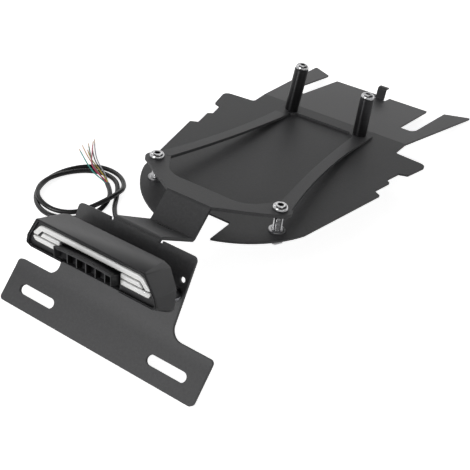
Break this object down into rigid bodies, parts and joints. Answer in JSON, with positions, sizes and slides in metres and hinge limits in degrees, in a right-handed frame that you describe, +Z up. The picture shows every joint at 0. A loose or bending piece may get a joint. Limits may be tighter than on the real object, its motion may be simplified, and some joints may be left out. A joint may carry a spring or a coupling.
{
  "type": "tail tidy",
  "caption": "Motorbike tail tidy: flat undertail plate and folded number plate bracket with spacers, rear light and cable.",
  "frame": {"origin": "on the ground, under the middle of the part without its cable and wires", "axes": "+X to the bike's right-hand side as seen from behind, +Y towards the bike's front, +Z up"},
  "size_m": [0.3356, 0.5876, 0.1024],
  "materials": {
    "powder_coat": "satin black powder coat",
    "black_anodised": "gloss black anodised",
    "bright_steel": "bright zinc plated",
    "washer_steel": "plain bright steel",
    "black_moulding": "fine moulded texture",
    "guide_white": "milky light guide",
    "lamp_black": "moulded",
    "lens_clear": "clear moulded",
    "board_green": "solder mask",
    "rubber_black": "matt",
    "cable_black": "soft sheath",
    "wire_teal": "soft insulation",
    "wire_cream": "soft insulation",
    "wire_yellow": "soft insulation",
    "wire_green": "soft insulation",
    "wire_red": "soft insulation",
    "wire_grey": "soft insulation",
    "wire_black": "soft insulation"
  },
  "bodies": {
    "root": {"undertail_plate": "powder_coat", "plate_bracket": "powder_coat", "spacer_left": "black_anodised", "spacer_right": "black_anodised", "spacer_screw_left": "bright_steel", "spacer_screw_right": "bright_steel", "spacer_washers": "washer_steel", "spacer_nuts": "bright_steel", "bracket_screws": "bright_steel", "bracket_upper_washers": "washer_steel", "bracket_lower_washers": "washer_steel", "bracket_nuts": "bright_steel", "light_housing": "black_moulding", "light_carrier": "black_moulding", "light_guide_upper": "guide_white", "light_guides_middle": "guide_white", "light_guides_lower": "guide_white", "plate_lamp_hood": "lamp_black", "plate_lamp_grille": "lamp_black", "plate_lamp_lens": "lens_clear", "light_board": "board_green", "light_back_cover": "black_moulding", "light_standoffs": "black_moulding", "light_washers": "washer_steel", "light_screws": "bright_steel", "cable_grommet": "rubber_black", "cable": "cable_black", "wire_teal": "wire_teal", "wire_cream": "wire_cream", "wire_yellow": "wire_yellow", "wire_green": "wire_green", "wire_red": "wire_red", "wire_grey": "wire_grey", "wire_black": "wire_black"}
  },
  "joints": []
}
